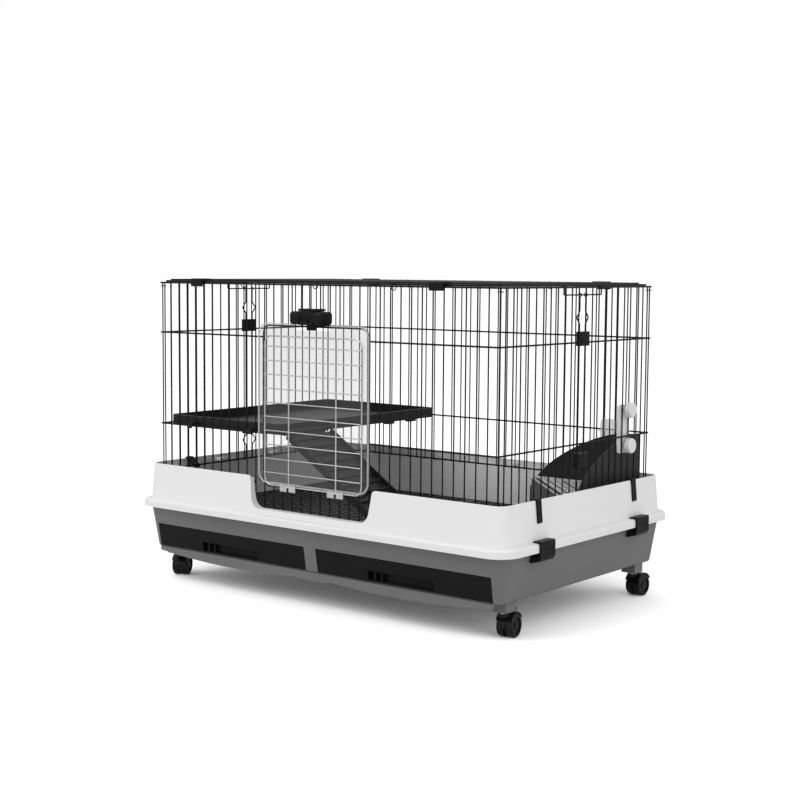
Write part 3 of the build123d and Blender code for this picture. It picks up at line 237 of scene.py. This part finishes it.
def makeUpFacingPale():
    group = newGroup(
        "upFacingPale",
        [
            ("Color", "NodeSocketColor", (0.5, 0.5, 0.5, 1)),
            ("Up Pale Colour", "NodeSocketColor", (0.6, 0.6, 0.58, 1)),
            ("Amount", "NodeSocketFloat", 0.1),
        ],
        [("Color", "NodeSocketColor")],
    )
    nodes, links = group.nodes, group.links
    start = nodes.new("NodeGroupInput")
    end = nodes.new("NodeGroupOutput")
    place = nodes.new("ShaderNodeTexCoord")
    split = nodes.new("ShaderNodeSeparateXYZ")
    patch = nodes.new("ShaderNodeTexNoise")
    patch.inputs["Scale"].default_value = upFacingPaleLook["patchScale"]
    patch.inputs["Detail"].default_value = upFacingPaleLook["patchDetail"]
    facing = nodes.new("ShaderNodeMath")
    facing.operation = "MULTIPLY"
    facing.use_clamp = True
    amount = nodes.new("ShaderNodeMath")
    amount.operation = "MULTIPLY"
    colour = nodes.new("ShaderNodeMix")
    colour.data_type = "RGBA"
    links.new(place.outputs["Normal"], split.inputs[0])
    links.new(place.outputs["Object"], patch.inputs["Vector"])
    links.new(split.outputs["Z"], facing.inputs[0])
    links.new(patch.outputs["Fac"], facing.inputs[1])
    links.new(facing.outputs[0], amount.inputs[0])
    links.new(start.outputs["Amount"], amount.inputs[1])
    links.new(amount.outputs[0], colour.inputs["Factor"])
    links.new(start.outputs["Color"], colour.inputs["A"])
    links.new(start.outputs["Up Pale Colour"], colour.inputs["B"])
    links.new(colour.outputs["Result"], end.inputs["Color"])
    return group


surfaceGrain = makeSurfaceGrain()
upFacingPale = makeUpFacingPale()

# What a finish has unless its own values below say otherwise
plainFinish = {"upPale": 0.01, "metal": 0.0, "shine": 0.5}
clearEdgeBlend = 0.25

finishes = {
    "base_grey": {
        "base": 0.17,
        "tint": 0.14,
        "mottle": 7,
        "grain": 1500,
        "height": 0.16,
        "rough": (0.36, 0.48),
        "upPale": 0.06,
    },
    "pan_grey": {
        "base": 0.09,
        "tint": 0.07,
        "mottle": 12,
        "grain": 1400,
        "height": 0.16,
        "rough": (0.42, 0.55),
        "upPale": 0.06,
    },
    "shell_white": {
        "base": 0.86,
        "tint": 0.82,
        "mottle": 5,
        "grain": 1100,
        "height": 0.05,
        "rough": (0.26, 0.36),
    },
    "trim_white": {
        "base": 0.8,
        "tint": 0.74,
        "mottle": 20,
        "grain": 1300,
        "height": 0.08,
        "rough": (0.3, 0.4),
    },
    "black_plastic": {
        "base": 0.005,
        "tint": 0.009,
        "mottle": 16,
        "grain": 1700,
        "height": 0.14,
        "rough": (0.36, 0.48),
        "shine": 0.12,
    },
    "black_wire": {
        "base": 0.004,
        "tint": 0.008,
        "mottle": 60,
        "grain": 2600,
        "height": 0.1,
        "rough": (0.34, 0.46),
        "shine": 0.14,
    },
    "chrome_wire": {
        "base": 0.7,
        "tint": 0.56,
        "mottle": 90,
        "grain": 2400,
        "height": 0.05,
        "rough": (0.12, 0.22),
        "metal": 1.0,
    },
    "clear_sheet": {
        "base": 0.12,
        "tint": 0.17,
        "mottle": 8,
        "grain": 60,
        "height": 0.0,
        "rough": (0.05, 0.1),
        "clear": (0.13, 0.38),
    },
    # Colour of the cover's edge bead: a painted highlight along the clear cover's edge
    "clear_rim_highlight": {
        "base": 0.62,
        "tint": 0.74,
        "mottle": 12,
        "grain": 60,
        "height": 0.0,
        "rough": (0.06, 0.12),
        "clear": (0.3, 0.8),
    },
    "clear_hook": {
        "base": 0.6,
        "tint": 0.7,
        "mottle": 30,
        "grain": 700,
        "height": 0.06,
        "rough": (0.16, 0.24),
        "clear": (0.42, 0.8),
    },
    "wheel_black": {
        "base": 0.004,
        "tint": 0.008,
        "mottle": 40,
        "grain": 1900,
        "height": 0.35,
        "rough": (0.28, 0.4),
        "shine": 0.25,
    },
    "shelf_black": {
        "base": 0.007,
        "tint": 0.013,
        "mottle": 22,
        "grain": 1200,
        "height": 0.12,
        "rough": (0.32, 0.44),
        "shine": 0.2,
    },
    "grate_black": {
        "base": 0.01,
        "tint": 0.018,
        "mottle": 30,
        "grain": 1400,
        "height": 0.12,
        "rough": (0.22, 0.34),
        "shine": 0.5,
        # More paleness on up-facing faces here: a painted sheen on the grate's web
        "upPale": 0.04,
    },
    "guard_black": {
        "base": 0.018,
        "tint": 0.026,
        "mottle": 14,
        "grain": 1500,
        "height": 0.25,
        "rough": (0.4, 0.52),
        "shine": 0.3,
    },
}


def grey(level):
    return (level, level, level * 1.01, 1)


def makeFinish(name, ownValues):
    values = plainFinish | ownValues
    material = bpy.data.materials.new(name)
    material.use_nodes = True
    tree = material.node_tree
    shader = tree.nodes["Principled BSDF"]
    grain = tree.nodes.new("ShaderNodeGroup")
    grain.node_tree = surfaceGrain
    grain.inputs["Base"].default_value = grey(values["base"])
    grain.inputs["Tint"].default_value = grey(values["tint"])
    grain.inputs["Mottle Scale"].default_value = values["mottle"]
    grain.inputs["Grain Scale"].default_value = values["grain"]
    grain.inputs["Grain Height"].default_value = values["height"]
    grain.inputs["Rough Low"].default_value = values["rough"][0]
    grain.inputs["Rough High"].default_value = values["rough"][1]
    upPale = tree.nodes.new("ShaderNodeGroup")
    upPale.node_tree = upFacingPale
    upPale.inputs["Amount"].default_value = values["upPale"]
    tree.links.new(grain.outputs["Color"], upPale.inputs["Color"])
    tree.links.new(upPale.outputs["Color"], shader.inputs["Base Color"])
    tree.links.new(grain.outputs["Roughness"], shader.inputs["Roughness"])
    tree.links.new(grain.outputs["Normal"], shader.inputs["Normal"])
    shader.inputs["Metallic"].default_value = values["metal"]
    shader.inputs["Specular IOR Level"].default_value = values["shine"]
    if "clear" in values:
        low, high = values["clear"]
        edge = tree.nodes.new("ShaderNodeLayerWeight")
        edge.inputs["Blend"].default_value = clearEdgeBlend
        veil = tree.nodes.new("ShaderNodeMapRange")
        veil.inputs["To Min"].default_value = low
        veil.inputs["To Max"].default_value = high
        tree.links.new(edge.outputs["Facing"], veil.inputs["Value"])
        tree.links.new(veil.outputs["Result"], shader.inputs["Alpha"])
    return material


materials = {name: makeFinish(name, values) for name, values in finishes.items()}
slotOf = {part["node"]: part["material_slot"] for part in frame["record"]["subparts"]}
ownFinish = {"shelf": "shelf_black", "ramp": "shelf_black", "splash_guard": "guard_black"}
bodies = frame["record"]["behaviour"]["bodies"]
bodyOf = {node: body for body, nodes in bodies.items() for node in nodes}


def finishFor(node):
    if node.startswith("castor_wheels") or node.startswith("castor_hood"):
        return "wheel_black"
    return ownFinish.get(node, slotOf[node])


def dressNodes():
    for node, piece in frame["nodes"].items():
        piece.data.materials.clear()
        piece.data.materials.append(materials[finishFor(node)])


dressNodes()
print("stage: nodes dressed")


meshWork = {
    "weld": 0.00001,
    "nodeWeld": 0.000005,
    "same": 0.0001,
    "sharpAngle": 32,
}


def finishPiece(name, bm, finish, node, stands=True):
    bmesh.ops.remove_doubles(bm, verts=bm.verts, dist=meshWork["weld"])
    bmesh.ops.recalc_face_normals(bm, faces=bm.faces)
    mesh = bpy.data.meshes.new(name)
    bm.to_mesh(mesh)
    bm.free()
    mesh.materials.append(materials[finish])
    piece = bpy.data.objects.new(name, mesh)
    scene.collection.objects.link(piece)
    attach(piece, bodyOf[node])
    if stands:
        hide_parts(node)
    return piece


def copyNode(node):
    bm = bmesh.new()
    bm.from_mesh(frame["nodes"][node].data)
    bmesh.ops.remove_doubles(bm, verts=bm.verts, dist=meshWork["nodeWeld"])
    return bm


def mergeInto(bm, other):
    scratch = bpy.data.meshes.new("mergeScratch")
    other.to_mesh(scratch)
    other.free()
    bm.from_mesh(scratch)
    bpy.data.meshes.remove(scratch)


def smoothMould(piece):
    piece.data.shade_smooth()
    piece.data.set_sharp_from_angle(angle=radians(meshWork["sharpAngle"]))


def addSheet(bm, low, high, across, along):
    verts = bmesh.ops.create_grid(bm, x_segments=across, y_segments=along, size=0.5)["verts"]
    bmesh.ops.scale(bm, vec=(high[0] - low[0], high[1] - low[1], 1), verts=verts)
    middle = ((low[0] + high[0]) / 2, (low[1] + high[1]) / 2, 0)
    bmesh.ops.translate(bm, vec=middle, verts=verts)
    return verts


# Alternate rows lean left and right, as the woven-looking slots of the real floor do
floorGrate = {
    "cell": (0.0205, 0.0082),
    "web": 0.0023,
    "lean": 0.0045,
    "plate": 0.0035,
    "border": 0.010,
    "overlap": 0.0004,
    "corner": 0.009,
    "cornerSteps": 5,
    "uprightLeast": 0.001,
}
edgeShare = 0.2


# Open cells; the crossings nearer to an edge than edgeShare of a cell keep their place
def latticeSheet(low, high, cell, web, lean):
    bm = bmesh.new()
    size = Vector((high[0] - low[0], high[1] - low[1]))
    across = round(size.x / cell[0])
    along = round(size.y / cell[1])
    addSheet(bm, low, high, across, along)
    pitch = size.y / along
    edgeGap = cell[0] * edgeShare
    for vert in bm.verts:
        row = round((vert.co.y - low[1]) / pitch)
        inside = low[0] + edgeGap < vert.co.x < high[0] - edgeGap
        if inside:
            vert.co.x += lean if row % 2 else -lean
    cells = bm.faces[:]
    bmesh.ops.inset_individual(bm, faces=cells, thickness=web / 2, use_even_offset=True)
    bmesh.ops.delete(bm, geom=cells, context="FACES")
    return bm


def borderRing(bm, low, high, width):
    face = addSheet(bm, low, high, 1, 1)[0].link_faces[0]
    bmesh.ops.inset_region(bm, faces=[face], thickness=width, use_even_offset=True, use_boundary=True)
    bmesh.ops.delete(bm, geom=[face], context="FACES_KEEP_BOUNDARY")


def thicken(bm, faces, top, depth):
    bmesh.ops.translate(bm, vec=(0, 0, top), verts=list({v for f in faces for v in f.verts}))
    made = bmesh.ops.extrude_face_region(bm, geom=faces, use_keep_orig=True)["geom"]
    lower = [item for item in made if isinstance(item, bmesh.types.BMVert)]
    bmesh.ops.translate(bm, vec=(0, 0, -depth), verts=lower)


def makeFloorGrate(node):
    grate = floorGrate
    low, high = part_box(node)
    bm = latticeSheet(
        (low[0] + grate["border"], low[1] + grate["border"]),
        (high[0] - grate["border"], high[1] - grate["border"]),
        grate["cell"],
        grate["web"],
        grate["lean"],
    )
    thicken(bm, bm.faces[:], high[2], grate["plate"])
    rim = bmesh.new()
    borderRing(rim, low, high, grate["border"] + grate["overlap"])
    thicken(rim, rim.faces[:], high[2], high[2] - low[2])
    near = meshWork["same"]
    upright = [
        edge
        for edge in rim.edges
        if abs(edge.verts[0].co.z - edge.verts[1].co.z) > grate["uprightLeast"]
        and min(abs(edge.verts[0].co.x - low[0]), abs(edge.verts[0].co.x - high[0])) < near
        and min(abs(edge.verts[0].co.y - low[1]), abs(edge.verts[0].co.y - high[1])) < near
    ]
    bmesh.ops.bevel(
        rim,
        geom=upright,
        offset=grate["corner"],
        affect="EDGES",
        segments=grate["cornerSteps"],
        profile=0.5,
        material=-1,
    )
    mergeInto(bm, rim)
    finishPiece("fine_" + node, bm, "grate_black", node)


for grateNode in ("floor_grate_left", "floor_grate_right"):
    makeFloorGrate(grateNode)
print("stage: floor grates")


# White grid over the pan: the same lattice turned to lie along the slope, inside a plain rim
litterGrid = {
    "cell": (0.0185, 0.0128),
    "web": 0.0032,
    "lean": 0.0046,
    "plate": 0.0012,
    "rim": 0.007,
    "overlap": 0.0003,
    "cornerRound": 0.006,
    "reachShare": 0.8,
    "turn": -45,
}


def cutAway(bm, point, direction):
    everything = bm.verts[:] + bm.edges[:] + bm.faces[:]
    bmesh.ops.bisect_plane(bm, geom=everything, plane_co=point, plane_no=direction, clear_outer=True)


def makeLitterGrid(node):
    grid = litterGrid
    low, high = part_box(node)
    leg = high[0] - low[0] + grid["cornerRound"] * 2**0.5
    half = leg * grid["reachShare"]
    slope = Vector((high[0] - leg / 2, high[1] - leg / 2, 0))
    out = Vector((-1, -1, 0)).normalized()
    bm = latticeSheet((-half, -half), (half, half), grid["cell"], grid["web"], grid["lean"])
    bmesh.ops.rotate(bm, verts=bm.verts, matrix=Matrix.Rotation(radians(grid["turn"]), 3, "Z"))
    bmesh.ops.translate(bm, vec=slope, verts=bm.verts)
    inset = grid["rim"] - grid["overlap"]
    cutAway(bm, Vector((high[0] - inset, 0, 0)), Vector((1, 0, 0)))
    cutAway(bm, Vector((0, high[1] - inset, 0)), Vector((0, 1, 0)))
    cutAway(bm, slope - out * inset, out)
    thicken(bm, bm.faces[:], high[2], grid["plate"])
    rim = bmesh.new()
    corners = [(high[0], high[1] - leg, 0), (high[0], high[1], 0), (high[0] - leg, high[1], 0)]
    face = rim.faces.new([rim.verts.new(corner) for corner in corners])
    bmesh.ops.inset_region(
        rim, faces=[face], thickness=grid["rim"], use_even_offset=True, use_boundary=True
    )
    bmesh.ops.delete(rim, geom=[face], context="FACES_KEEP_BOUNDARY")
    cutAway(rim, Vector((low[0], 0, 0)), Vector((-1, 0, 0)))
    cutAway(rim, Vector((0, low[1], 0)), Vector((0, -1, 0)))
    thicken(rim, rim.faces[:], high[2], high[2] - low[2])
    mergeInto(bm, rim)
    finishPiece("zigzag_litter_grid", bm, "trim_white", node)


makeLitterGrid("litter_grid")
print("stage: litter grid")

# Moulded pieces get the small rounded edges of a real mould
softEdges = {
    "latch_slider": 0.0008,
    "clip_brackets": 0.0005,
    "hatch_hinge_clips": 0.0006,
    "hatch_clip_left": 0.0006,
    "hatch_clip_right": 0.0006,
    "clamp_plate": 0.0006,
    "ramp": 0.0006,
    "slider_upper_left": 0.0008,
    "slider_upper_right": 0.0008,
    "slider_lower_left": 0.0008,
    "slider_lower_right": 0.0008,
}
for row in ("front", "back"):
    for end in ("left", "right"):
        softEdges["base_clip_" + row + "_" + end] = 0.0005
        softEdges["strap_hook_" + row + "_" + end] = 0.0004


mouldEdge = {"segments": 2, "angle": 35, "flatAngle": 1}

# A shallow panel in the largest end face of each base clip's strap. That is its inner face, so
# the panel is out of sight, and the outer face stays plain
clipPanel = {"margin": 0.0045, "depth": 0.0011, "least": 0.0002, "facing": 0.7, "strapFrom": 0.404}


def sinkPanel(bm):
    endFaces = [
        face
        for face in bm.faces
        if abs(face.normal.x) > clipPanel["facing"] and face.calc_area() > clipPanel["least"]
    ]
    if endFaces:
        face = max(
            endFaces,
            key=lambda item: item.calc_area()
            * (abs(item.calc_center_median().x) > clipPanel["strapFrom"]),
        )
        bmesh.ops.inset_region(
            bm,
            faces=[face],
            thickness=clipPanel["margin"],
            depth=-clipPanel["depth"],
            use_even_offset=True,
            use_boundary=True,
        )


def softenNode(node, width):
    bm = copyNode(node)
    flat = radians(mouldEdge["flatAngle"])
    bmesh.ops.dissolve_limit(bm, angle_limit=flat, verts=bm.verts, edges=bm.edges)
    if node.startswith("base_clip"):
        sinkPanel(bm)
    piece = finishPiece("moulded_" + node, bm, finishFor(node), node)
    edge = piece.modifiers.new("roundedEdge", "BEVEL")
    edge.width = width
    edge.segments = mouldEdge["segments"]
    edge.limit_method = "ANGLE"
    edge.angle_limit = radians(mouldEdge["angle"])
    smoothMould(piece)


for softNode, softWidth in softEdges.items():
    softenNode(softNode, softWidth)
print("stage: moulded edges")

# The latch housing has two well rounded ends either side of its slide
latchHousing = {
    "middle": 0.0165,
    "overlap": 0.0005,
    "round": 0.0055,
    "steps": 4,
    "drop": 0.0008,
}


def makeLatchHousing(node):
    latch = latchHousing
    low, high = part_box(node)
    bm = copyNode(node)
    for side in (-1, 1):
        cutAway(bm, Vector((side * latch["middle"], 0, 0)), Vector((side, 0, 0)))
    openEdges = [edge for edge in bm.edges if edge.is_boundary]
    bmesh.ops.holes_fill(bm, edges=openEdges, sides=0)
    for side in (-1, 1):
        inner = latch["middle"] - latch["overlap"]
        length = high[0] - inner
        ends = bmesh.ops.create_cube(bm, size=1)["verts"]
        size = (length, high[1] - low[1], high[2] - low[2] - latch["drop"])
        bmesh.ops.scale(bm, vec=size, verts=ends)
        middle = (side * (inner + length / 2), (low[1] + high[1]) / 2, (low[2] + high[2]) / 2)
        bmesh.ops.translate(bm, vec=middle, verts=ends)
        around = {edge for vert in ends for edge in vert.link_edges}
        outer = [
            edge
            for edge in around
            if max(abs(edge.verts[0].co.x), abs(edge.verts[1].co.x)) > inner + length / 2
        ]
        bmesh.ops.bevel(
            bm,
            geom=outer,
            offset=latch["round"],
            affect="EDGES",
            segments=latch["steps"],
            profile=0.5,
            material=-1,
        )
    smoothMould(finishPiece("latch_housing", bm, "black_plastic", node))


makeLatchHousing("latch_body")
print("stage: latch housing")

# A pale bead round the edge of the clear cover, open where the latch sits; its pale colour is a
# painted highlight along the cover's edge
coverEdgeHighlight = {
    "width": 0.0032,
    "inset": 0.0002,
    "proud": 0.0009,
    "corner": 0.0205,
    "steps": 8,
    "gapHalf": 0.0395,
    "gapLow": 0.46,
}


def makeCoverEdgeHighlight(node):
    highlightBead = coverEdgeHighlight
    low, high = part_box(node)
    bm = bmesh.new()
    bmesh.ops.create_grid(bm, x_segments=1, y_segments=1, size=0.5)
    width = high[0] - low[0] - 2 * highlightBead["inset"]
    height = high[2] - low[2] - 2 * highlightBead["inset"]
    bmesh.ops.scale(bm, vec=(width, height, 1), verts=bm.verts)
    bmesh.ops.bevel(
        bm,
        geom=bm.verts[:],
        offset=highlightBead["corner"],
        affect="VERTICES",
        segments=highlightBead["steps"],
        profile=0.5,
        material=-1,
    )
    face = bm.faces[:][0]
    bmesh.ops.inset_region(
        bm, faces=[face], thickness=highlightBead["width"], use_even_offset=True, use_boundary=True
    )
    bmesh.ops.delete(bm, geom=[face], context="FACES_KEEP_BOUNDARY")
    bmesh.ops.rotate(bm, verts=bm.verts, matrix=Matrix.Rotation(radians(90), 3, "X"))
    middle = ((low[0] + high[0]) / 2, low[1], (low[2] + high[2]) / 2)
    bmesh.ops.translate(bm, vec=middle, verts=bm.verts)
    for side in (-1, 1):
        everything = bm.verts[:] + bm.edges[:] + bm.faces[:]
        edgeX = Vector((side * highlightBead["gapHalf"], 0, 0))
        bmesh.ops.bisect_plane(bm, geom=everything, plane_co=edgeX, plane_no=(1, 0, 0))
    gap = [
        item
        for item in bm.faces
        if abs(item.calc_center_median().x) < highlightBead["gapHalf"]
        and item.calc_center_median().z > highlightBead["gapLow"]
    ]
    bmesh.ops.delete(bm, geom=gap, context="FACES")
    made = bmesh.ops.extrude_face_region(bm, geom=bm.faces[:], use_keep_orig=True)["geom"]
    front = [item for item in made if isinstance(item, bmesh.types.BMVert)]
    bmesh.ops.translate(bm, vec=(0, -highlightBead["proud"], 0), verts=front)
    finishPiece("cover_edge_highlight", bm, "clear_rim_highlight", node, stands=False)


makeCoverEdgeHighlight("door_cover")
print("stage: cover bead")
